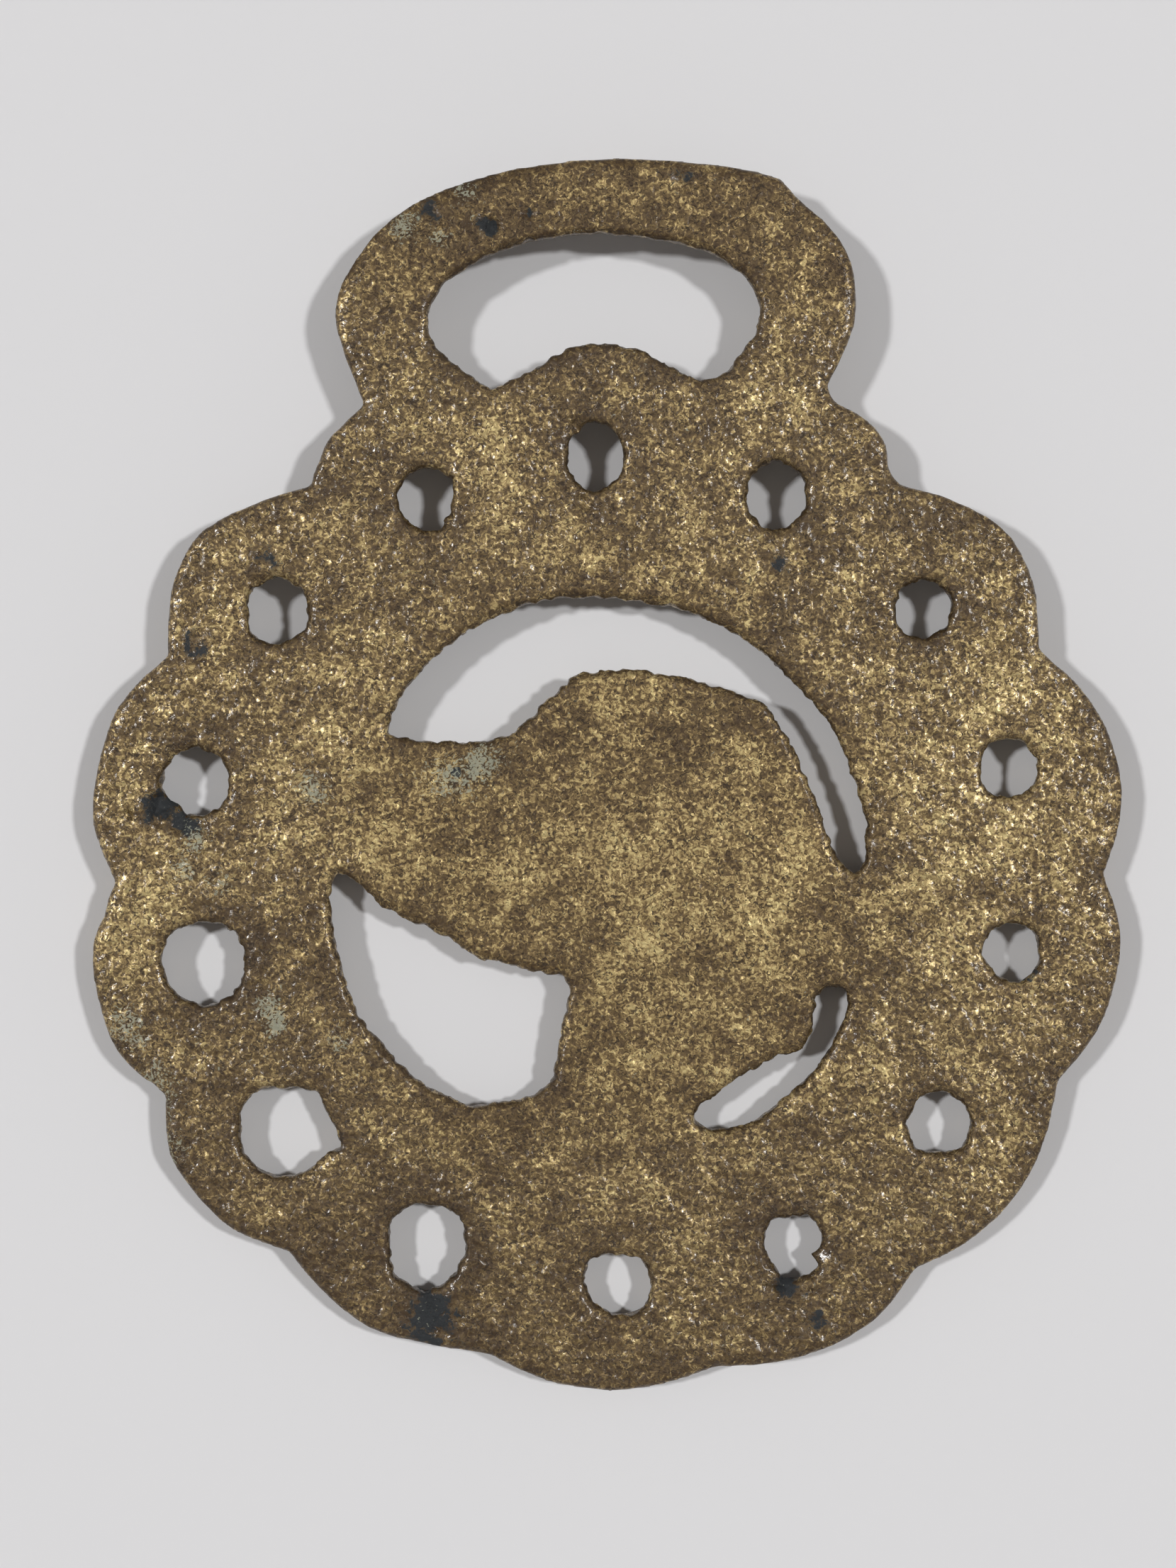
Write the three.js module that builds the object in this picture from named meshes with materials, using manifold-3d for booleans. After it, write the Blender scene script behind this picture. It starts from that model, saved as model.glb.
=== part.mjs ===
// Horse brass: a flat plate cast in one pour, with a scalloped and pierced ring, an animal's head in the
// middle and a hanger loop for the strap. Millimetres, +Z up. It lies on its front, on the crown of the
// head and the lowest lobe of the rim, so the flat back looks up and leans a little: the hanger, which
// points along +Y, is its high end. The origin is on the surface below the middle of the plan.
import * as THREE from "three";
import { mergeVertices } from "three/addons/utils/BufferGeometryUtils.js";
import Module from "manifold-3d";

// Driving dimensions.
const PLATE_THICKNESS = 2.5;
const RELIEF_HEIGHT = 1.0; // from the front of the plate to the crown of the head, at the middle of the ring
const RELIEF_SHOULDER = 1.6; // width of the rounding from the head's crown to its edge
const RELIEF_BAND = 0.8; // straight band above that rounding, which runs up into the leaning plate
const ARRIS_HEIGHT = 0.35; // the worn edge all round the back
const LAND_HEIGHT = 0.2; // the steep band below the worn edge, where the plate is widest
const TAPER = 0.35; // how far the worn edge, and the moulder's draft below the land, lean in
const RIM_FOOT = 38.35 - TAPER; // how far the lowest lobe's foot is from the middle of the ring
const LEAN = Math.atan(RELIEF_HEIGHT / RIM_FOOT); // tips the plate until that foot meets the surface
const CURVE_STEPS = 3; // straight steps for each point of a curved run
const HOLE_STEPS = 2; // straight steps for each radius of a pierced hole
const RELIEF_STEPS = 3; // facets across the rounding of the head
const WELD = 1e-4; // corners nearer than this are one

// The scallops, clockwise from the right foot of the hanger. Each row is one lobe: the bearing of the notch
// it starts from, in degrees anticlockwise from +X, then the radius there and at each quarter of the way
// to the next notch. They were cut by eye, so no two are alike.
const SCALLOPS = [
  [52.9, 35.2, 37.0, 38.1, 37.3],
  [27.0, 35.4, 37.2, 38.1, 37.8],
  [-0.5, 36.3, 37.8, 38.1, 37.7],
  [-25.0, 36.5, 37.7, 38.4, 38.1],
  [-52.3, 37.0, 38.4, 38.7, 38.3],
  [-77.5, 37.4, 38.1, 38.3, 37.8],
  [-103.5, 36.7, 37.2, 37.9, 37.4],
  [-129.8, 36.5, 38.0, 38.4, 38.2],
  [-152.8, 36.3, 38.2, 38.4, 37.9],
  [-178.5, 35.9, 37.7, 37.9, 37.5],
  [-206.0, 35.6, 37.7, 38.5, 37.1],
];
const LAST_NOTCH = [-232.4, 35.3];

// Runs of outline by hand, from the middle of the ring. A corner is where one run ends and the next starts.
const HANGER_LEFT = [
  [-17.7, 33.9], [-19.2, 37.9], [-19.8, 40.6], [-19.0, 43.2], [-17.0, 46.0], [-14.6, 48.0],
  [-12.0, 49.3], [-8.0, 50.6], [-4.0, 51.3], [1.0, 51.7], [7.0, 51.3], [10.4, 50.8], [12.6, 50.2],
];
const HANGER_RIGHT = [
  [12.6, 50.2], [14.2, 48.5], [16.2, 46.7], [17.7, 44.3], [18.1, 41.5], [17.8, 39.0], [16.0, 35.2],
];
const RIGHT_SHOULDER = [[16.0, 35.2], [16.6, 34.1], [18.2, 33.3], [19.6, 32.1], [20.4, 30.6], [20.5, 29.2]];
const LEFT_SHOULDER = [[-21.2, 29.2], [-20.3, 31.3], [-19.0, 32.6]];
const SLOT_BAR = [
  [-8.4, 35.0], [-11.4, 37.0], [-12.7, 38.6], [-13.0, 40.0], [-12.2, 42.2], [-10.9, 43.3], [-8.6, 44.6],
  [-5.1, 45.7], [-0.8, 46.2], [3.4, 45.8], [7.0, 45.0], [9.2, 43.8], [10.6, 42.3], [11.1, 40.4],
  [10.3, 38.3], [8.7, 36.3], [6.7, 35.5],
];
const SLOT_DOME = [
  [6.7, 35.5], [4.0, 37.0], [2.0, 37.9], [-0.3, 38.3], [-2.5, 38.0], [-4.2, 37.2], [-6.2, 36.0], [-8.4, 35.0],
];
const CRESCENT_RING = [
  [-16.0, 10.2], [-15.3, 12.2], [-13.6, 14.3], [-12.0, 16.0], [-9.6, 17.7], [-7.0, 18.9], [-3.9, 19.7],
  [-1.0, 19.8], [1.7, 19.6], [5.0, 19.0], [8.8, 17.5], [11.2, 15.9], [15.2, 12.0], [16.9, 9.5],
  [18.1, 6.4], [18.9, 3.6], [18.9, 1.4], [18.6, 0.2], [18.1, -0.4],
];
const CRESCENT_HEAD = [
  [18.1, -0.4], [17.2, 0.3], [16.2, 2.4], [15.4, 4.8], [13.5, 9.0], [12.4, 10.9], [11.6, 12.0],
  [10.0, 12.7], [5.4, 14.1], [1.6, 14.6], [-1.9, 14.3], [-3.2, 13.5], [-4.8, 11.9], [-6.6, 10.2],
  [-8.6, 9.5], [-11.1, 9.3], [-13.1, 9.4], [-15.2, 9.7], [-16.0, 10.2],
];
const JAW_RING = [
  [-19.7, -0.2], [-20.1, -1.1], [-20.2, -2.8], [-19.6, -6.3], [-18.4, -10.2], [-16.7, -12.5],
  [-14.8, -14.6], [-13.2, -15.9], [-10.2, -17.3],
];
const JAW_THROAT = [
  [-10.2, -17.3], [-7.9, -17.1], [-5.4, -16.5], [-4.0, -15.2], [-3.6, -13.6], [-3.1, -10.5], [-2.7, -8.6],
];
const JAW_BONE = [
  [-2.7, -8.6], [-3.2, -7.8], [-4.6, -7.6], [-8.3, -6.8], [-10.2, -6.0], [-12.0, -4.8], [-14.1, -3.8],
  [-16.5, -2.6], [-18.6, -0.7], [-19.7, -0.2],
];
const CHEST_SLIT = [
  [16.3, -8.7], [17.3, -8.8], [17.7, -9.7], [17.2, -11.4], [15.6, -14.2], [14.6, -15.4], [13.0, -16.7],
  [11.0, -18.3], [8.8, -19.1], [7.0, -18.8], [6.4, -18.1], [7.3, -16.9], [9.0, -15.8], [10.9, -14.5],
  [12.6, -13.7], [14.2, -13.2], [15.0, -12.0], [15.3, -10.3], [15.5, -9.2],
];

// The pierced holes, clockwise from the one below the hanger: the middle, then radii at even bearings,
// anticlockwise from +X.
const HOLES = [
  [-0.9, 30.0, 2.1, 2.3, 2.6, 2.2, 2.0, 2.1, 2.4, 2.2],
  [12.3, 27.1, 2.2, 2.4, 2.6, 2.3, 2.2, 2.1, 2.4, 2.2],
  [23.0, 18.8, 2.1, 2.3, 2.3, 2.2, 1.9, 2.0, 1.9, 1.9],
  [29.3, 7.2, 2.2, 2.3, 2.3, 2.4, 2.0, 2.1, 1.9, 2.1],
  [29.6, -6.1, 2.0, 2.2, 2.1, 2.1, 2.1, 1.9, 2.1, 2.2],
  [24.2, -18.7, 2.4, 2.5, 2.5, 2.2, 2.2, 2.3, 2.0, 2.5],
  [13.7, -27.6, 2.1, 2.5, 2.1, 2.4, 2.1, 2.0, 2.5, 2.5],
  [0.8, -30.4, 2.4, 2.5, 2.1, 2.6, 2.4, 2.3, 2.3, 2.6],
  [-13.2, -27.6, 2.8, 3.2, 3.0, 3.2, 2.7, 3.2, 3.3, 2.9],
  [-23.3, -19.3, 3.5, 3.2, 3.6, 3.2, 3.7, 3.9, 3.5, 3.6, 3.4, 3.2, 3.0, 3.2],
  [-29.5, -7.0, 3.0, 3.3, 3.1, 3.3, 3.1, 2.9, 2.9, 3.0],
  [-30.2, 6.1, 2.6, 2.8, 2.8, 2.5, 2.3, 2.2, 2.1, 2.4],
  [-24.0, 18.7, 2.2, 2.4, 2.6, 2.5, 2.2, 2.3, 2.2, 2.3],
  [-13.2, 26.8, 1.9, 2.5, 2.4, 2.3, 2.1, 1.9, 2.1, 2.2],
];

// The head on the front: the silhouette that the openings leave, drawn in from their edges, and closed
// where the muzzle, the nape and the chest run into the ring.
const HEAD_RELIEF = [
  [-18.2, 4.6], [-17.0, 7.2], [-14.0, 8.1], [-10.4, 7.9], [-7.2, 8.6], [-4.8, 10.2], [-2.6, 12.2],
  [0.4, 13.2], [5.4, 12.6], [9.6, 11.2], [11.8, 9.0], [14.2, 4.0], [16.0, -0.6], [16.6, -4.6],
  [15.2, -8.4], [13.8, -11.4], [11.0, -13.3], [7.6, -15.4], [4.2, -17.4], [1.0, -17.0], [-1.4, -14.4],
  [-1.7, -10.0], [-1.9, -7.7], [-3.6, -6.6], [-7.0, -6.0], [-11.0, -4.2], [-15.2, -2.4], [-17.6, 0.6],
];

const vectors = (points) => points.map(([x, y]) => new THREE.Vector2(x, y));

const polar = (degrees, radius) => {
  const bearing = THREE.MathUtils.degToRad(degrees);
  return [radius * Math.cos(bearing), radius * Math.sin(bearing)];
};

// Carries an outline on through each run of points in turn, smooth inside a run.
function follow(outline, ...runs) {
  for (const run of runs) outline.splineThru(vectors(run));
  return outline;
}

// A closed opening made of runs that each start where the one before ends.
function opening(...runs) {
  const [x, y] = runs[0][0];
  return follow(new THREE.Path().moveTo(x, y), ...runs.map((run) => run.slice(1)));
}

// A smooth closed loop through points, with so many straight steps for each of them.
function smoothLoop(points, steps) {
  const around = points.map(([x, y]) => new THREE.Vector3(x, y, 0));
  const loop = new THREE.CatmullRomCurve3(around, true, "centripetal");
  return loop.getPoints(points.length * steps).slice(0, -1);
}

function scallopRuns() {
  const notches = [...SCALLOPS.map(([bearing, radius]) => [bearing, radius]), LAST_NOTCH];
  return SCALLOPS.map(([start, ...radii], lobe) => {
    const [end, endRadius] = notches[lobe + 1];
    const crest = radii.slice(1).map((radius, i) => polar(start + ((end - start) * (i + 1)) / 4, radius));
    return [...crest, polar(end, endRadius)];
  });
}

function pierceHoles() {
  return HOLES.map(([x, y, ...radii]) => {
    const rim = radii.map((radius, i) => {
      const [dx, dy] = polar((360 / radii.length) * i, radius);
      return [x + dx, y + dy];
    });
    return new THREE.Path(smoothLoop(rim, HOLE_STEPS));
  });
}

function planOutline() {
  const [footX, footY] = HANGER_LEFT[0];
  const firstNotch = polar(...SCALLOPS[0]);
  const rim = new THREE.Path().moveTo(footX, footY);
  follow(rim, HANGER_LEFT.slice(1), HANGER_RIGHT.slice(1), [...RIGHT_SHOULDER.slice(1), firstNotch]);
  follow(rim, ...scallopRuns());
  follow(rim, [...LEFT_SHOULDER, HANGER_LEFT[0]]);
  // The runs go clockwise, and an extrusion's outline has to go the other way.
  const plan = new THREE.Shape(rim.getPoints(CURVE_STEPS).reverse());
  plan.holes.push(
    opening(SLOT_BAR, SLOT_DOME),
    opening(CRESCENT_RING, CRESCENT_HEAD),
    opening(JAW_RING, JAW_THROAT, JAW_BONE),
    new THREE.Path(smoothLoop(CHEST_SLIT, CURVE_STEPS)),
    ...pierceHoles(),
  );
  return plan;
}

// The plate. The extrusion's bevels come out one unit thick, so its four levels lie at -1, 0, 1 and 2:
// they are moved to the front face, the foot and top of the land, and the back face.
function castPlate(plan) {
  const back = RELIEF_HEIGHT + PLATE_THICKNESS;
  const landTop = back - ARRIS_HEIGHT;
  const levels = [RELIEF_HEIGHT, landTop - LAND_HEIGHT, landTop, back];
  const geometry = new THREE.ExtrudeGeometry(plan, {
    depth: 1,
    curveSegments: CURVE_STEPS,
    bevelThickness: 1,
    bevelSize: TAPER,
    bevelOffset: -TAPER,
    bevelSegments: 1,
  });
  const position = geometry.getAttribute("position");
  for (let i = 0; i < position.count; i++) position.setZ(i, levels[Math.round(position.getZ(i)) + 1]);
  return geometry.rotateX(LEAN);
}

// The head on the front, crown down and level. Its upper half is buried in the plate.
function headRelief() {
  const outline = smoothLoop(HEAD_RELIEF, CURVE_STEPS);
  const geometry = new THREE.ExtrudeGeometry(new THREE.Shape(outline), {
    depth: RELIEF_BAND,
    bevelThickness: RELIEF_HEIGHT,
    bevelSize: RELIEF_SHOULDER,
    bevelOffset: -RELIEF_SHOULDER,
    bevelSegments: RELIEF_STEPS,
  });
  return geometry.translate(0, 0, RELIEF_HEIGHT);
}

const wasm = await Module();
wasm.setup();

function toSolid(geometry) {
  geometry.deleteAttribute("normal");
  geometry.deleteAttribute("uv");
  const merged = mergeVertices(geometry, WELD);
  return new wasm.Manifold(
    new wasm.Mesh({
      numProp: 3,
      vertProperties: merged.attributes.position.array,
      triVerts: new Uint32Array(merged.index.array),
    }),
  );
}

function toGeometry(solid) {
  const { vertProperties, triVerts } = solid.getMesh();
  const geometry = new THREE.BufferGeometry();
  geometry.setAttribute("position", new THREE.BufferAttribute(vertProperties, 3));
  geometry.setIndex(new THREE.BufferAttribute(triVerts, 1));
  geometry.computeVertexNormals();
  return geometry;
}

function castBrass() {
  const geometry = toGeometry(toSolid(castPlate(planOutline())).add(toSolid(headRelief())));
  geometry.computeBoundingBox();
  const middle = geometry.boundingBox.getCenter(new THREE.Vector3());
  const patinatedBrass = new THREE.MeshStandardMaterial({ color: 0x7d6a3c, roughness: 0.55, metalness: 0.9 });
  const mesh = new THREE.Mesh(geometry, patinatedBrass);
  mesh.name = "cast_brass";
  mesh.position.set(-middle.x, -middle.y, -geometry.boundingBox.min.z);
  return mesh;
}

const horseBrass = new THREE.Group();
horseBrass.add(castBrass());

export default horseBrass;
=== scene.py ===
# %% [markdown]
# # A cast horse brass, lying on its face
#
# A horse brass is a flat ornament cast in brass and hung on the harness of a heavy horse. This one is a
# scalloped ring, pierced all round, with an animal's head in the middle and a loop at the top for the
# strap. It was cast in a sand mould: the sand gave the skin its grain, the moulder's tools and the
# founder's file gave it its edges, and a century of weather and harness grease gave it its colour.
# It lies with the plain back up, on the crown of the head and on the foot of the lowest lobe, so the
# whole plate leans a little and the loop is its high end.
#
# Lengths are metres here, as everywhere in Blender. The shape is worked in millimetres, because that is
# how a casting is measured, and turned to metres at the end.

import math

import bmesh
import bpy
import numpy as np
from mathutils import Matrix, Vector, kdtree, noise


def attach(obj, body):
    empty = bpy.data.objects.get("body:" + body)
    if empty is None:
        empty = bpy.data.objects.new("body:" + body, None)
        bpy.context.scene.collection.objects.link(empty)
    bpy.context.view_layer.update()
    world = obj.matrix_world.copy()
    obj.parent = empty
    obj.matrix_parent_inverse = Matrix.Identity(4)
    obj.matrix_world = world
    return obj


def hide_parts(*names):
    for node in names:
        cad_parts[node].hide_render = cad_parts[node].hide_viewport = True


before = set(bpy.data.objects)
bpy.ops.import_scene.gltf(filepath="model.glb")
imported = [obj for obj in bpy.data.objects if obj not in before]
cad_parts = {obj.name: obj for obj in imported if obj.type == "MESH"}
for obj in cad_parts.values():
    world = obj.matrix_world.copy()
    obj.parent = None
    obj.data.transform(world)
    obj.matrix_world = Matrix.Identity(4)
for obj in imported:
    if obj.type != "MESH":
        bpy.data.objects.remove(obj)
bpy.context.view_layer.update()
scene = bpy.context.scene
casting_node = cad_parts["cast_brass"]

MM = 0.001


def linear(hex_colour):
    """An sRGB hex colour as the linear RGBA that shaders take."""
    channels = [int(hex_colour[i : i + 2], 16) / 255 for i in (1, 3, 5)]
    rgb = [c / 12.92 if c <= 0.04045 else ((c + 0.055) / 1.055) ** 2.4 for c in channels]
    return (*rgb, 1.0)


# %% [markdown]
# ## Table, light and camera
#
# The brass lies on a pale painted board. The light is what a small copy stand gives: two soft
# lamps, one each side, high up and a little toward the loop. Each throws its own half shadow, and where
# the two halves meet the board is dark. Sun lamps do this with shadows that are the same all over the
# board; their angle is the size of the lamp as the brass sees it, and sets how soft the edge of a shadow
# is. The left lamp hangs a little lower than the right one, so its shadows are longer. The board curves
# up far away, so that low views don't end in a black horizon.

# %% Lay the board
BOARD_RADIUS = 1.6
BOARD_RISE = 0.75
COVE_RADIUS = 0.35
COVE_STEPS = 10
ROUND_STEPS = 64


def make_board():
    bm = bmesh.new()
    start = bm.verts.new((0, 0, 0))
    edge = bm.verts.new((BOARD_RADIUS - COVE_RADIUS, 0, 0))
    bm.edges.new((start, edge))
    bend = bmesh.ops.spin(
        bm, geom=[edge], angle=-math.pi / 2, steps=COVE_STEPS, axis=(0, 1, 0),
        cent=(BOARD_RADIUS - COVE_RADIUS, 0, COVE_RADIUS),
    )
    top = [v for v in bend["geom_last"] if isinstance(v, bmesh.types.BMVert)]
    lift = bmesh.ops.extrude_vert_indiv(bm, verts=top)["verts"]
    bmesh.ops.translate(bm, verts=lift, vec=(0, 0, BOARD_RISE - COVE_RADIUS))
    bmesh.ops.spin(
        bm, geom=bm.verts[:] + bm.edges[:], angle=math.tau, steps=ROUND_STEPS, axis=(0, 0, 1),
        cent=(0, 0, 0), use_merge=True,
    )
    bmesh.ops.remove_doubles(bm, verts=bm.verts, dist=1e-5)
    for face in bm.faces:
        face.smooth = True
    bmesh.ops.recalc_face_normals(bm, faces=bm.faces)
    mesh = bpy.data.meshes.new("painted_board")
    bm.to_mesh(mesh)
    bm.free()
    board = bpy.data.objects.new("painted_board", mesh)
    scene.collection.objects.link(board)
    return board


board = make_board()
lowest_on_board = min(v.co.z for v in board.data.vertices)
print("the board has", len(board.data.polygons), "faces and lies at", round(lowest_on_board, 5))

# %% Hang the lamps
LEFT_LAMP_HEIGHT = math.radians(53.2)
RIGHT_LAMP_HEIGHT = math.radians(57.0)
LAMP_TURN = math.radians(11.5)
LAMP_SIZE = math.radians(5.0)
LAMP_DISTANCE = 1.2
LAMP_WHITE = (1.0, 0.998, 1.0)
ROOM_GREY = (0.168, 0.158, 0.152, 1)
LAMP_STRENGTH = 1.31

for side, name, height in ((-1, "left_lamp", LEFT_LAMP_HEIGHT), (1, "right_lamp", RIGHT_LAMP_HEIGHT)):
    lamp = bpy.data.lights.new(name, "SUN")
    lamp.energy = LAMP_STRENGTH
    lamp.angle = LAMP_SIZE
    lamp.color = LAMP_WHITE
    towards = Vector((
        side * math.cos(height) * math.cos(LAMP_TURN),
        math.cos(height) * math.sin(LAMP_TURN),
        math.sin(height),
    ))
    hung = bpy.data.objects.new(name, lamp)
    hung.location = towards * LAMP_DISTANCE
    hung.rotation_euler = towards.to_track_quat("Z", "Y").to_euler()
    scene.collection.objects.link(hung)
    print(name, "shines from", [round(c, 3) for c in towards])

room = bpy.data.worlds.new("dim_room")
room.use_nodes = True
room.node_tree.nodes["Background"].inputs["Color"].default_value = ROOM_GREY
room.node_tree.nodes["Background"].inputs["Strength"].default_value = 1.0
scene.world = room
scene.view_settings.view_transform = "Standard"

# %% [markdown]
# The camera looks straight down on the back, so that its lens sees the whole brass with a margin. The
# field is measured at the height of the back, because that is what has to come out at the right size.

# %% Set the camera
LENS_MM = 62
SENSOR_MM = 36
FIELD_MM = 114.2
BACK_HEIGHT_MM = 3.66
AIM_MM = (-1.37, -0.44)

camera_data = bpy.data.cameras.new("copy_stand_camera")
camera_data.lens = LENS_MM
camera_data.sensor_width = SENSOR_MM
camera_data.clip_start = 0.01
camera_data.clip_end = 20
camera = bpy.data.objects.new("copy_stand_camera", camera_data)
camera_height_mm = BACK_HEIGHT_MM + FIELD_MM * LENS_MM / SENSOR_MM
camera.location = (AIM_MM[0] * MM, AIM_MM[1] * MM, camera_height_mm * MM)
scene.collection.objects.link(camera)
scene.camera = camera
print("the camera looks straight down from", round(camera.location.z, 4), "m")

# %% [markdown]
# ## The casting
#
# The plain solid has the true outline, thickness and lean, with flat faces and an even chamfer. A real
# sand casting has none of those. Its skin sways and is pitted, the metal drew back from the edges of the
# openings as it set and left them rolled and ragged, and only the outer rim was dressed with a file.
# None of this can be extruded. So a copy of the solid is turned to an even dense skin with the voxel
# remesh, which is what a sculptor would start from, and the skin is then pushed and pulled in code.
# The solid itself is never touched.

# %% Merge a copy of the solid
WELD = 1e-6

solid = bmesh.new()
solid.from_mesh(casting_node.data)
bmesh.ops.remove_doubles(solid, verts=solid.verts, dist=WELD)
print("the merged copy has", len(solid.verts), "corners and", len(solid.faces), "faces")

# %% [markdown]
# Everything on the plate is easier to place when it lies level. `to_plate` turns points to millimetres
# from the middle of the ring, on the plate: X to the right, Y to the loop, Z through the thickness, with
# the back face at BACK. `from_plate` brings them back to where the plate really lies.

# %% Level the plate
BACK = 3.5
LAND_TOP = 3.15
FRONT = 1.0
LEAN = math.atan(1.0 / 38.0)
RING_MIDDLE_MM = (0.009, -6.610)
COS, SIN = math.cos(LEAN), math.sin(LEAN)


def to_plate(points):
    x, y, z = (np.asarray(points, dtype=float) * 1000).T
    x, y = x - RING_MIDDLE_MM[0], y - RING_MIDDLE_MM[1]
    return np.stack([x, y * COS + z * SIN, z * COS - y * SIN], axis=1)


def from_plate(points):
    x, y, z = points.T
    row = np.stack([x, y * COS - z * SIN, y * SIN + z * COS], axis=1)
    row[:, 0] += RING_MIDDLE_MM[0]
    row[:, 1] += RING_MIDDLE_MM[1]
    return row * MM


corners = to_plate([v.co for v in solid.verts])
print("the back face lies at", round(corners[:, 2].max(), 3), "mm on the plate")

# %% [markdown]
# The outline is where the plate is widest: the top of the narrow land under the worn edge. It is read
# from the solid as points every tenth of a millimetre, each with the direction into the metal. From
# these every spot of the skin learns how far it is from the nearest edge, and whether that edge is the
# filed outer rim or a rough opening.

# %% Walk round the outline
STEP = 0.1
LEVEL_SLACK = 0.02


def outline_edges():
    on_land = np.abs(corners[:, 2] - LAND_TOP) < LEVEL_SLACK
    for edge in solid.edges:
        a, b = (v.index for v in edge.verts)
        if not (on_land[a] and on_land[b]):
            continue
        for face in edge.link_faces:
            third = next(v.index for v in face.verts if v.index not in (a, b))
            if corners[third, 2] > LAND_TOP + LEVEL_SLACK:
                yield a, b, third


def walk_outline():
    group = {}

    def root(i):
        while group.setdefault(i, i) != i:
            i = group[i]
        return i

    spots, inward, owner = [], [], []
    for a, b, third in outline_edges():
        group[root(a)] = root(b)
        start, end = corners[a, :2], corners[b, :2]
        length = np.hypot(*(end - start))
        along = (end - start) / length
        across = corners[third, :2] - start
        across = across - along * (across @ along)
        across = across / np.hypot(*across)
        count = max(1, round(length / STEP))
        for share in (np.arange(count) + 0.5) / count:
            spots.append(start + (end - start) * share)
            inward.append(across)
            owner.append(a)
    loops = np.array([root(a) for a in owner])
    return np.array(spots), np.array(inward), loops


solid.verts.index_update()
spots, inward, loops = walk_outline()
reach = {loop: np.ptp(spots[loops == loop, 0]) for loop in set(loops.tolist())}
rim_loop = max(reach, key=reach.get)
on_rim = loops == rim_loop
print(len(reach), "loops of outline; the rim is", round(STEP * on_rim.sum()), "mm round")

# %% [markdown]
# The voxel remesh makes squares of one size all over, and the plate's front, which lies on the board,
# doesn't need as many as the back. A Decimate modifier held to a vertex group thins the front and leaves
# the back alone. The group's factor is how much sooner an edge in it is given up than one outside.

# %% Grow a dense skin
VOXEL_MM = 0.26
MOST_TRIANGLES = 196000
THIN_BELOW = FRONT + 1.0
THIN_FACTOR = 1000


def applied(carrier, name):
    """The mesh that a carrier's modifiers make, as a mesh of its own."""
    made = bpy.data.meshes.new_from_object(carrier.evaluated_get(bpy.context.evaluated_depsgraph_get()))
    made.name = name
    carrier.modifiers.clear()
    return made


def grow_skin():
    carrier = bpy.data.objects.new("brass_casting", bpy.data.meshes.new("merged_solid"))
    solid.to_mesh(carrier.data)
    scene.collection.objects.link(carrier)
    remesh = carrier.modifiers.new("even_skin", "REMESH")
    remesh.mode = "VOXEL"
    remesh.voxel_size = VOXEL_MM * MM
    remesh.use_smooth_shade = True
    carrier.data = applied(carrier, "dense_skin")
    height = to_plate(read_points(carrier.data))[:, 2]
    underside = carrier.vertex_groups.new(name="underside")
    underside.add(np.flatnonzero(height < THIN_BELOW).tolist(), 1.0, "REPLACE")
    carrier.data.calc_loop_triangles()
    thin = carrier.modifiers.new("thin_the_front", "DECIMATE")
    thin.ratio = MOST_TRIANGLES / len(carrier.data.loop_triangles)
    thin.vertex_group = "underside"
    thin.vertex_group_factor = THIN_FACTOR
    carrier.data = applied(carrier, "casting_skin")
    carrier.vertex_groups.clear()
    return carrier


def read_points(mesh):
    points = np.empty(3 * len(mesh.vertices), dtype=np.float32)
    mesh.vertices.foreach_get("co", points)
    return points.reshape(-1, 3)


casting = grow_skin()
solid.free()
skin = to_plate(read_points(casting.data))
casting.data.calc_loop_triangles()
print("the skin has", len(skin), "points and", len(casting.data.loop_triangles), "triangles")

# %% [markdown]
# Three helpers say where a spot is and how the metal wanders there. `edge_distance` gives the distance
# in from an outline and the direction to go. `wander` is smooth noise with a real wavelength. `ease`
# is a soft step from 0 to 1.

# %% Measure to the edges
SEED = Vector((3.7, 11.3, 5.1))
OCTAVE_GAIN, OCTAVE_STEP = 0.9, 2.1


def edge_distance(points, chosen):
    tree = kdtree.KDTree(int(chosen.sum()))
    for i in np.flatnonzero(chosen):
        tree.insert((*spots[i], 0), int(i))
    tree.balance()
    nearest = np.array([tree.find((x, y, 0))[1] for x, y in points[:, :2]])
    offset = points[:, :2] - spots[nearest]
    signed = (offset * inward[nearest]).sum(1)
    span = np.hypot(*offset.T)
    return np.where(signed < 0, signed, span), inward[nearest]


def wander(points, wavelength, shift=0, octaves=2):
    """Smooth noise from about -1 to 1 that repeats its character every wavelength, in millimetres."""
    offset = SEED * (1 + shift)
    seeds = (Vector(p) / wavelength + offset for p in points.tolist())
    return np.array([noise.fractal(seed, OCTAVE_GAIN, OCTAVE_STEP, octaves) for seed in seeds])


def ease(low, high, values):
    share = np.clip((values - low) / (high - low), 0, 1)
    return share * share * (3 - 2 * share)


rim_in, rim_direction = edge_distance(skin, on_rim)
hole_in, hole_direction = edge_distance(skin, ~on_rim)
edge_in = np.minimum(rim_in, hole_in)
print("the widest metal is", round(2 * edge_in.max(), 1), "mm across")

# %% [markdown]
# ### The edges
#
# Round the openings the back rolls over in a soft shoulder. The outer rim was filed: a flat facet with
# a crisp arris. Both are made the same way. A point of the skin that stands outside the wanted profile
# is pulled onto it, and all others stay.

# %% Roll the openings and file the rim
ROLL_MM, ROLL_SWING, ROLL_WAVE = 0.64, 0.35, 3.1
FACET_MM, FACET_SWING, FACET_WAVE = 0.60, 0.4, 6.0
FACET_SLOPE = 2.7
FLAT = np.array([1, 1, 0])


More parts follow.
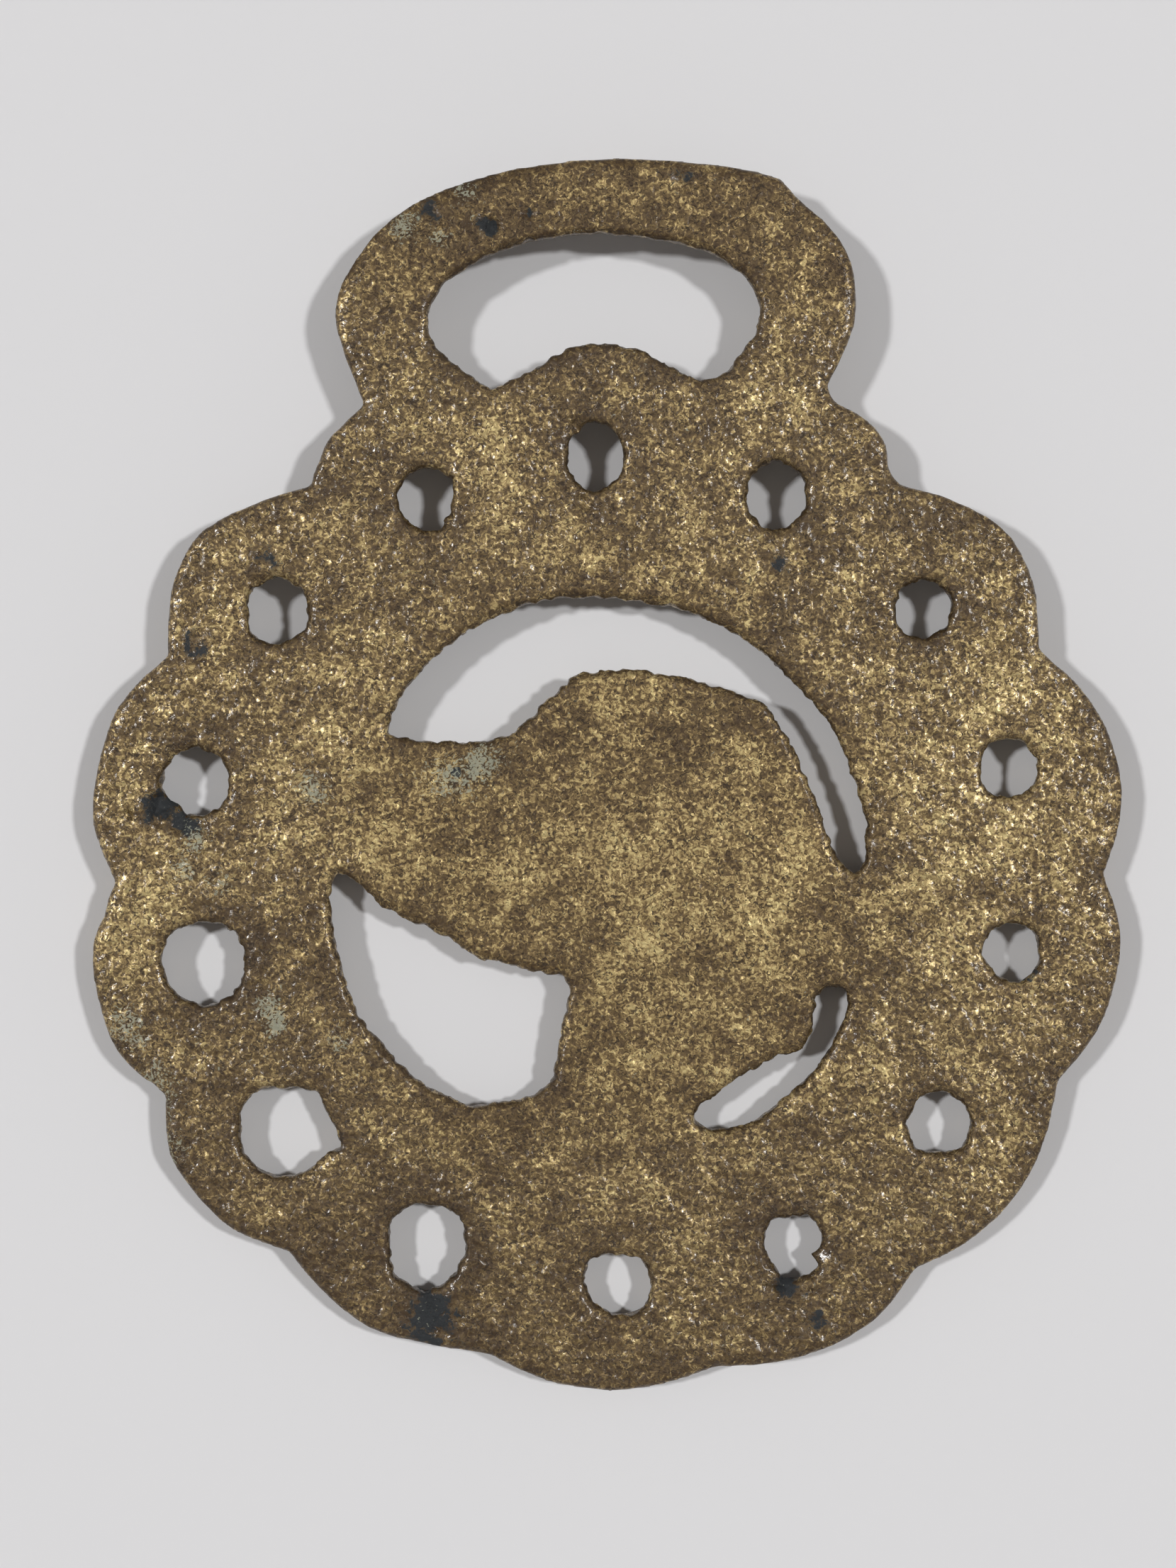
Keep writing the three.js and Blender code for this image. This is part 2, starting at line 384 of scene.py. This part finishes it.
def roll_edges(points):
    depth = BACK - points[:, 2]
    radius = ROLL_MM * (1 + ROLL_SWING * wander(points * FLAT, ROLL_WAVE, 1))
    across, down = radius - hole_in, radius - depth
    span = np.hypot(across, down)
    outside = (across > 0) & (down > 0) & (span > radius)
    pull = np.where(outside, 1 - radius / np.maximum(span, 1e-6), 0)
    points[:, :2] += hole_direction * (across * pull)[:, None]
    points[:, 2] -= down * pull
    return int(outside.sum())


# Middle on the plate, radius, and how much wider the file cut there, all in mm.
WIDE_FACETS = [
    (-17.0, 45.6, 5.0, 0.50), (-9.0, 50.0, 5.0, 0.30), (19.0, 48.0, 4.0, 0.25), (37.0, 4.0, 6.0, 0.30),
]


def nearness(points, x, y, radius):
    return np.exp(-((points[:, 0] - x) ** 2 + (points[:, 1] - y) ** 2) / radius**2)


def file_rim(points):
    depth = BACK - points[:, 2]
    width = FACET_MM * (1 + FACET_SWING * wander(points * FLAT, FACET_WAVE, 2))
    for x, y, radius, extra in WIDE_FACETS:
        width += extra * nearness(points, x, y, radius)
    over = np.maximum(width - rim_in - FACET_SLOPE * depth, 0) / (1 + FACET_SLOPE**2)
    points[:, :2] += rim_direction * over[:, None]
    points[:, 2] -= FACET_SLOPE * over
    return int((over > 0).sum())


print("rolled", roll_edges(skin), "points and filed", file_rim(skin))

# %% [markdown]
# ### The sand's skin
#
# The mould was rammed by hand, so the back sways by a few hundredths over a finger's width, with lumps
# where the sand was soft and a fine grain on top. The openings' walls are rough, because there the sand
# crumbled as the pattern was drawn. The front, which was dressed smooth, gets no sway, lumps or grain.

# %% Press the sand's marks into the skin
SWAY_MM, SWAY_WAVE = 0.08, 11.0
LUMP_MM, LUMP_WAVE = 0.05, 2.4
GRAIN_MM, GRAIN_WAVE = 0.035, 1.0
CRUMBLE_MM, CRUMBLE_WAVE, CRUMBLE_REACH = 0.20, 0.8, 0.4
DENT_MM, DENT_WAVE = 0.06, 3.4
BURR_MM, BURR_WAVE, RIM_REACH = 0.04, 0.9, 0.6

# The ring is the coarsest part of the back. The head and the loop are smoother.
from_middle = np.hypot(skin[:, 0], skin[:, 1])
beyond_head = ease(15, 25, from_middle + 4 * wander(skin * FLAT, 9.0, 10))
on_loop = ease(38, 44, skin[:, 1])
coarse = 0.35 + 0.65 * beyond_head - 0.55 * on_loop

back_side = ease(FRONT + 0.9, FRONT + 1.7, skin[:, 2])
inner_back = ease(0.2, 1.2, edge_in)
sway = SWAY_MM * wander(skin * [1, 1, 0.2], SWAY_WAVE, 3, 1)
lumps = LUMP_MM * wander(skin * [1, 1, 0.4], LUMP_WAVE, 4) * inner_back
grain = GRAIN_MM * wander(skin, GRAIN_WAVE, 5) * (0.4 + 0.6 * inner_back)
lift = back_side * (sway + coarse * (lumps + grain))

# Walls crumble most at the top, and only half as much on the loop.
upper_wall = ease(FRONT - 0.2, FRONT + 0.6, skin[:, 2])
crumble = wander(skin * [1, 1, 0.45], CRUMBLE_WAVE, 6, 3)
crumble = np.sign(crumble) * np.abs(crumble) ** 0.8 + 0.25 * wander(skin * [1, 1, 0.3], 2.4, 7)
crumble *= np.exp(-np.maximum(hole_in, 0) / CRUMBLE_REACH) * (1 - 0.5 * on_loop)
into_metal = CRUMBLE_MM * crumble * (0.35 + 0.65 * upper_wall)
dents = DENT_MM * wander(skin * [1, 1, 0.5], DENT_WAVE, 8)
burrs = BURR_MM * wander(skin * [1, 1, 0.4], BURR_WAVE, 11)
hammered = (dents + burrs) * np.exp(-np.maximum(rim_in, 0) / RIM_REACH)

skin[:, :2] += hole_direction * into_metal[:, None]
skin[:, :2] += rim_direction * hammered[:, None]
skin[:, 2] += lift
print("the back sways by", [round(v, 3) for v in (lift.min(), lift.max())], "mm")

# %% [markdown]
# ### Faults in the casting
#
# A few faults are deep enough to see: blow holes where gas sat under the back, places where the edge of
# an opening broke away or ran, and one curl of metal that crossed a hole as it was poured. A blow hole
# is a ragged pit. A broken edge is the outline pushed back into the metal, and a run is the same with
# the sign changed.

# %% Sink the pits and break the edges
# Each row: middle on the plate, radius and depth, all in mm.
BLOW_HOLES = [
    (-8.4, 46.7, 0.75, 0.55), (-8.9, 47.3, 0.35, 0.35), (-5.6, 47.7, 0.32, 0.35), (-0.6, 47.2, 0.22, 0.3),
    (-32.4, 4.9, 1.3, 0.8), (-31.2, 3.4, 1.2, 0.55), (-29.5, 3.2, 0.7, 0.35), (-13.0, -31.6, 0.7, 0.35),
    (-12.6, -33.4, 1.3, 0.18), (-13.6, -35.8, 0.9, 0.15), (12.6, -30.8, 0.5, 0.7), (15.0, -30.9, 0.5, 0.6),
    (-12.9, 47.8, 0.6, 0.2), (5.5, 50.0, 0.9, 0.15), (-10.9, 7.2, 0.3, 0.25), (-2.4, 32.3, 0.5, 0.5),
    (-1.6, 26.9, 0.7, 0.35), (-25.4, 21.0, 0.5, 0.3), (16.3, -2.2, 0.2, 0.2), (2.6, -4.0, 0.2, 0.2),
    (10.6, -23.4, 0.3, 0.2), (-21.3, -22.4, 0.5, 0.2), (-36.4, -9.0, 0.4, 0.2), (24.4, 3.0, 0.25, 0.2),
]
# Each row: the same, with how far the edge is pushed into the metal, in mm.
BROKEN_EDGES = [
    (-19.8, -20.2, 0.45, 0.75), (-19.2, -20.8, 0.35, 0.6), (-21.6, 20.0, 0.5, 0.3), (-22.4, 16.7, 0.6, -0.35),
    (15.6, -28.3, 0.42, -1.1), (13.0, -30.1, 0.4, 0.6), (15.2, -30.2, 0.4, 0.5), (11.8, -28.9, 0.4, 0.25),
    (-0.5, 46.2, 0.5, 0.15), (-5.7, 45.6, 0.4, 0.2), (-3.1, 13.7, 0.25, 0.3), (-0.7, 14.3, 0.2, 0.25),
    (3.4, 14.4, 0.25, 0.3), (15.1, -13.4, 0.5, -0.3), (-31.7, 4.4, 0.6, -0.4), (-13.4, -30.9, 0.35, 0.35),
    (-36.6, -3.4, 0.9, 0.25), (-33.0, -15.6, 0.6, 0.2), (11.0, 25.9, 0.35, -0.3), (-11.5, 25.4, 0.35, -0.35),
]


PIT_SWING = 0.9
PUSH_REACH = 0.5


def sink(points, x, y, radius, depth):
    """How far the points go down in a pit with a ragged edge."""
    ragged = 1 + PIT_SWING * wander(points * FLAT, 0.7 * radius + 0.35, 12)
    span = np.hypot(points[:, 0] - x, points[:, 1] - y) / radius * ragged
    return -depth * ease(0.0, 0.75, 1 - span)


def push_edge(points, x, y, radius, amount):
    """How far the points go in, away from the edge that they are nearest to."""
    near = nearness(points, x, y, radius)
    nearer_hole = hole_in < rim_in
    reach = np.exp(-np.maximum(edge_in, 0) / PUSH_REACH)
    direction = np.where(nearer_hole[:, None], hole_direction, rim_direction)
    return direction * (amount * near * reach)[:, None]


for x, y, radius, depth in BLOW_HOLES:
    close = (np.hypot(skin[:, 0] - x, skin[:, 1] - y) < 2.5 * radius) & (back_side > 0)
    skin[close, 2] += sink(skin[close], x, y, radius, depth)
skin[:, :2] += sum(push_edge(skin, *row) for row in BROKEN_EDGES)
print(len(BLOW_HOLES), "blow holes and", len(BROKEN_EDGES), "broken edges")

# %% [markdown]
# The points go back to where the plate really lies. Noise must not push the front through the board, so
# nothing lies lower than a hair above it.

# %% Write the shape back
FLOOR_GAP = 1e-5


def write_points(mesh, points):
    row = from_plate(points)
    row[:, 2] = np.maximum(row[:, 2], FLOOR_GAP)
    mesh.vertices.foreach_set("co", row.astype(np.float32).ravel())
    mesh.update()


write_points(casting.data, skin)
print("the lowest point lies at", round(1000 * from_plate(skin)[:, 2].min(), 3), "mm before that")

# %% [markdown]
# The finish depends on where the edges are and on how coarse the cast is there. The mesh carries these as
# attributes of its points.

# %% Keep what the finish needs to know
def keep(mesh, name, values):
    layer = mesh.attributes.new(name, "FLOAT", "POINT")
    layer.data.foreach_set("value", np.asarray(values, dtype=np.float32))


keep(casting.data, "rim_in", rim_in)
keep(casting.data, "hole_in", hole_in)
keep(casting.data, "coarse", coarse)
print("kept the distances to the rim and to the openings, in millimetres")

# %% [markdown]
# ## The finish
#
# The metal is brass that has gone brown: a thin, uneven patina with old harness wax over it. Handling
# has rubbed the tops of the sand's grain back to pale gold, and the pits between them keep the dark.
# So one fine pattern is both the relief and the colour: high is pale, low is brown. It is broken up by
# clusters a few millimetres across and by clouds as wide as a thumb, because hands and straps rub some
# places more than others. All patterns are read in Object coordinates, so they are solid and run round
# the edges without a seam, and each scale is worked out from a size in millimetres.

# %% Say where it is worn, sooty or green
# Each row: middle on the plate in mm, radius in mm, strength.
WORN = [
    (1.5, -2.0, 11.0, 0.55), (-14.0, 2.5, 7.0, 0.45), (30.0, 6.0, 9.0, 0.60), (-33.0, -2.0, 6.5, 0.65),
    (26.0, 22.0, 9.0, 0.25), (-8.0, 24.0, 9.0, 0.30), (6.0, 27.0, 8.0, 0.25), (-26.0, 20.0, 7.0, 0.20),
    (21.0, 9.0, 5.0, 0.25), (6.0, -27.0, 7.0, 0.20), (12.0, -14.0, 5.0, 0.15), (33.0, -6.0, 7.0, 0.45),
    (0.0, 46.0, 22.0, -0.30), (-22.0, -28.0, 11.0, -0.50), (-2.0, -24.0, 9.0, -0.40),
    (10.0, -35.0, 12.0, -0.30), (-12.0, -36.0, 9.0, -0.45), (29.0, -22.0, 9.0, -0.15),
    (-27.0, -12.0, 8.0, -0.15), (17.0, -4.0, 5.0, -0.30), (-36.0, 12.0, 6.0, 0.15), (16.0, 17.0, 6.0, -0.15),
]
SOOTY = [
    (-12.8, -32.6, 2.2, 0.9), (-13.6, -36.0, 1.6, 0.7), (-32.6, 4.6, 1.3, 1.0), (-30.6, 3.3, 1.1, 0.9),
    (-8.4, 46.7, 0.65, 1.6), (-12.9, 47.8, 0.8, 0.8), (-5.6, 47.7, 0.45, 1.0), (5.5, 50.5, 1.0, 0.6),
    (13.1, -30.6, 0.9, 1.2), (15.4, -33.0, 1.0, 0.8), (-10.9, 7.2, 0.4, 1.2), (-12.4, -28.0, 1.4, 0.5),
    (-24.6, 22.6, 1.0, 0.7), (12.9, 22.4, 1.2, 0.6), (-30.0, 16.4, 1.0, 0.7), (31.0, -7.4, 0.9, 0.6),
]
GREEN = [
    (-8.9, 7.7, 1.5, 0.9), (-11.8, 6.8, 1.8, 0.8), (-21.4, 5.9, 1.4, 0.9), (-30.1, 2.0, 1.1, 0.9),
    (-30.8, 0.0, 0.9, 0.8), (-28.1, -1.2, 1.1, 0.8), (-24.8, -10.1, 1.2, 0.9), (-24.2, -11.5, 0.9, 0.8),
    (-19.4, -12.5, 1.0, 0.7), (-35.1, -11.5, 1.6, 0.8), (-33.0, -15.0, 1.8, 0.7), (-32.4, -20.0, 1.8, 0.6),
    (-14.8, 46.6, 1.2, 0.9), (-12.2, 45.8, 0.8, 0.8), (-10.2, 49.2, 0.9, 0.7), (24.0, -24.0, 2.2, 0.25),
]


PATCH_WAVE = 1.3


def spots_of(table, ragged):
    """The sum of soft spots at every point of the skin, each with an outline this ragged."""
    total = np.zeros(len(skin))
    stray = 1 + ragged * wander(skin, PATCH_WAVE, 9)
    for x, y, radius, strength in table:
        span = np.hypot(skin[:, 0] - x, skin[:, 1] - y) / radius
        total += strength * np.exp(-((span * stray) ** 2))
    return total


keep(casting.data, "worn", spots_of(WORN, 0.1))
keep(casting.data, "sooty", spots_of(SOOTY, 0.45))
keep(casting.data, "green", spots_of(GREEN, 0.5))
print(len(WORN), "worn,", len(SOOTY), "sooty and", len(GREEN), "green patches")

# %% [markdown]
# The material is sand-cast brass with a century of patina. It gives the eye a warm brown ground with
# pale gold grain on it, glints where a knob or an arris leans toward a lamp, and no even surface
# anywhere. One function adds each node, with what is set on it and what is linked into it.

# %% Start the brass
brass = bpy.data.materials.new("patinated_cast_brass")
brass.use_nodes = True
brass.node_tree.nodes.clear()


def add(kind, settings=(), links=(), out=0):
    """Adds a node, sets what is named on it or its sockets, links sources in, and gives one output."""
    tree = brass.node_tree
    node = tree.nodes.new("ShaderNode" + kind)
    for name, value in dict(settings).items():
        if isinstance(name, int) or name in node.inputs:
            node.inputs[name].default_value = value
        else:
            setattr(node, name, value)
    for name, source in dict(links).items():
        tree.links.new(source, node.inputs[name])
    return node.outputs[out] if node.outputs else node


def per_metre(size_mm):
    """The scale that makes a pattern's marks this many millimetres across."""
    return 1000 / size_mm


# %% [markdown]
# The grain of the cast skin is about a third of a millimetre across, and so are the pits in it. Ripples
# and knobs are a little wider. Marks much finer than this wouldn't show from here, so none are drawn.

# %% Lay down the patterns
GRAIN_SIZE, PIT_SIZE, RIPPLE_SIZE, KNOB_SIZE = 0.36, 0.38, 0.55, 0.90
CLUSTER_SIZE, CLOUD_SIZE = 2.2, 9.0

place = add("TexCoord", out="Object")
fine = add("TexNoise", {"Scale": per_metre(GRAIN_SIZE), "Detail": 3, "Roughness": 0.6, "Distortion": 0.9},
           {"Vector": place})
squiggles = add("TexNoise", {"Scale": per_metre(PIT_SIZE), "Detail": 2, "Distortion": 1.8}, {"Vector": place})
ripples = add("TexNoise", {"Scale": per_metre(RIPPLE_SIZE), "Detail": 0.5, "Distortion": 0.6},
              {"Vector": place})
knobs = add("TexNoise", {"Scale": per_metre(KNOB_SIZE), "Detail": 1, "Distortion": 0.3}, {"Vector": place})
clusters = add("TexNoise", {"Scale": per_metre(CLUSTER_SIZE), "Detail": 3, "Roughness": 0.6},
               {"Vector": place})
clouds = add("TexNoise", {"Scale": per_metre(CLOUD_SIZE), "Detail": 2}, {"Vector": place})
to_rim = add("Attribute", {"attribute_name": "rim_in"}, out="Fac")
to_hole = add("Attribute", {"attribute_name": "hole_in"}, out="Fac")
coarse_cast = add("Attribute", {"attribute_name": "coarse"}, out="Fac")
worn = add("Attribute", {"attribute_name": "worn"}, out="Fac")
sooty = add("Attribute", {"attribute_name": "sooty"}, out="Fac")
verdigris = add("Attribute", {"attribute_name": "green"}, out="Fac")
print("the patterns go from", GRAIN_SIZE, "to", CLOUD_SIZE, "mm")

# %% [markdown]
# The tone is a sum. The fine grain counts most, the clusters and clouds move it up and down, wear lifts
# it and the last two millimetres before an edge lower it, because nothing rubs there.

# %% Add up the tone
to_edge = add("Math", {"operation": "MINIMUM"}, {0: to_rim, 1: to_hole})
inner = add("MapRange", {"From Min": 0.5, "From Max": 2.8}, {"Value": to_edge})
tone = add("Math", {"operation": "MULTIPLY_ADD", 1: 1.18, 2: -0.525}, {0: fine})
tone = add("Math", {"operation": "MULTIPLY_ADD", 1: 0.46}, {0: clusters, 2: tone})
tone = add("Math", {"operation": "MULTIPLY_ADD", 1: 0.30}, {0: clouds, 2: tone})
tone = add("Math", {"operation": "MULTIPLY_ADD", 1: 0.10}, {0: worn, 2: tone})
tone = add("Math", {"operation": "MULTIPLY_ADD", 1: 0.05}, {0: inner, 2: tone})

print("the tone adds up", len(brass.node_tree.nodes), "nodes so far")

# %% [markdown]
# The ramp goes from the oxide in the hollows, through brown, to the pale gold of rubbed metal. Narrow,
# winding pits keep their own darker brown on top of it.

# %% Turn the tone to colour
TONES = [
    (0.28, "#46341D"), (0.43, "#624F31"), (0.505, "#735F3D"), (0.545, "#8A744E"),
    (0.60, "#A99264"), (0.68, "#C8B17C"), (0.78, "#DDC990"),
]
PIT_BROWN = "#2E2214"
SOOT_BLACK = "#272A2C"
GREY_GREEN = "#A6A893"

patina = add("ValToRGB", {}, {"Fac": tone})
ramp = patina.node.color_ramp.elements
ramp[0].position, ramp[1].position = TONES[0][0], TONES[-1][0]
ramp[0].color, ramp[1].color = linear(TONES[0][1]), linear(TONES[-1][1])
for position, colour in TONES[1:-1]:
    ramp.new(position).color = linear(colour)

pits = add("MapRange", {"From Min": 0.42, "From Max": 0.35, "To Max": 0.85}, {"Value": squiggles})
patina = add("Mix", {"data_type": "RGBA", 7: linear(PIT_BROWN)}, {0: pits, 6: patina}, out=2)
print("the patina has", len(TONES), "tones")

# %% [markdown]
# Soot and verdigris sit in patches with broken edges. The place and size of a patch come from the
# tables; the grain decides where in the patch it holds.

# %% Lay soot and verdigris
soot = add("Math", {"operation": "MULTIPLY_ADD", 1: 1.4}, {0: fine, 2: sooty})
soot = add("Math", {"operation": "MULTIPLY_ADD", 1: 1.2}, {0: knobs, 2: soot})
soot = add("MapRange", {"From Min": 1.72, "From Max": 1.92}, {"Value": soot})
patina = add("Mix", {"data_type": "RGBA", 7: linear(SOOT_BLACK)}, {0: soot, 6: patina}, out=2)
green = add("Math", {"operation": "MULTIPLY", 1: 2.4}, {0: squiggles})
green = add("Math", {"operation": "MULTIPLY_ADD", 1: 0.72}, {0: verdigris, 2: green})
green = add("MapRange", {"From Min": 1.66, "From Max": 1.90, "To Max": 0.7}, {"Value": green})
patina = add("Mix", {"data_type": "RGBA", 7: linear(GREY_GREEN)}, {0: green, 6: patina}, out=2)
print(len(brass.node_tree.nodes), "nodes so far")

# %% [markdown]
# The same patterns raise the surface. Knobs and ripples are what the eye sees as cast skin; the grain and
# the pits only roughen them. Everything gets flatter near an edge.

# %% Raise the grain
FINE_MM = 0.035
RIPPLE_MM = 0.075
KNOB_MM = 0.25
PIT_MM = 0.03

knob_height = add("Math", {"operation": "MULTIPLY", 1: KNOB_MM}, {0: coarse_cast})
height = add("Math", {"operation": "MULTIPLY"}, {0: knobs, 1: knob_height})
height = add("Math", {"operation": "MULTIPLY_ADD", 1: RIPPLE_MM}, {0: ripples, 2: height})
height = add("Math", {"operation": "MULTIPLY_ADD", 1: FINE_MM}, {0: fine, 2: height})
height = add("Math", {"operation": "MULTIPLY_ADD", 1: -PIT_MM}, {0: pits, 2: height})
off_edge = add("MapRange", {"From Min": 0.0, "From Max": 0.8, "To Min": 0.35}, {"Value": to_edge})
relief = add("Bump", {"Distance": MM}, {"Height": height, "Strength": off_edge})

# %% [markdown]
# The pale tops are nearly bare metal, the brown hollows are oxide and grease. Harness wax over it all is
# the coat: it is thick and shiny on the rough ring and along the edges, and nearly gone on the head.
# Soot and verdigris are dry, so they take away both the metal and the coat.

# %% Build the brass
dry = add("Math", {"operation": "MAXIMUM"}, {0: soot, 1: green})
dry = add("Math", {"operation": "MAXIMUM"}, {0: dry, 1: pits})
clean = add("Math", {"operation": "SUBTRACT", 0: 1.0, "use_clamp": True}, {1: dry})
bare = add("MapRange", {"From Min": 0.42, "From Max": 0.66, "To Min": 0.3, "To Max": 0.8}, {"Value": tone})
arris = add("MapRange", {"From Min": 0.55, "From Max": 0.15, "To Max": 0.7}, {"Value": to_edge})
bare = add("Math", {"operation": "MAXIMUM"}, {0: bare, 1: arris})
bare = add("Math", {"operation": "MULTIPLY"}, {0: bare, 1: clean})
rough = add("MapRange", {"From Min": 0.42, "From Max": 0.66, "To Min": 0.56, "To Max": 0.44}, {"Value": tone})
rough = add("Math", {"operation": "MULTIPLY_ADD", 1: 0.25, "use_clamp": True}, {0: dry, 2: rough})
wax = add("MapRange", {"From Min": 0.35, "From Max": 1.0, "To Min": 0.12, "To Max": 0.65},
          {"Value": coarse_cast})
wax = add("Math", {"operation": "MAXIMUM"}, {0: wax, 1: arris})
wax = add("Math", {"operation": "MULTIPLY"}, {0: wax, 1: clean})
surface = add(
    "BsdfPrincipled",
    {"Coat Roughness": 0.17, "Coat IOR": 1.5},
    {"Base Color": patina, "Roughness": rough, "Metallic": bare, "Coat Weight": wax,
     "Normal": relief, "Coat Normal": relief},
)
add("OutputMaterial", {}, {"Surface": surface})
casting.data.materials.clear()
casting.data.materials.append(brass)
casting.data.polygons.foreach_set("use_smooth", [True] * len(casting.data.polygons))
print("the finish has", len(brass.node_tree.nodes), "nodes")

# %% [markdown]
# The board has flat white wall paint: a chalky surface with no shine, so that the shadows stay plain.

# %% Paint the board
board_paint = bpy.data.materials.new("matt_white_paint")
board_paint.use_nodes = True
paint = board_paint.node_tree.nodes["Principled BSDF"]
paint.inputs["Base Color"].default_value = (0.776, 0.776, 0.786, 1)
paint.inputs["Roughness"].default_value = 0.9
paint.inputs["Specular IOR Level"].default_value = 0.0
board.data.materials.append(board_paint)
print("the board is painted with", board_paint.name)

# %% [markdown]
# The skin now takes the place of the plain solid: it moves with the one body, stands for its node, and has
# its finish.

# %% Tie the casting to the frame
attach(casting, "root")
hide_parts("cast_brass")
print(casting.name, "stands for cast_brass")
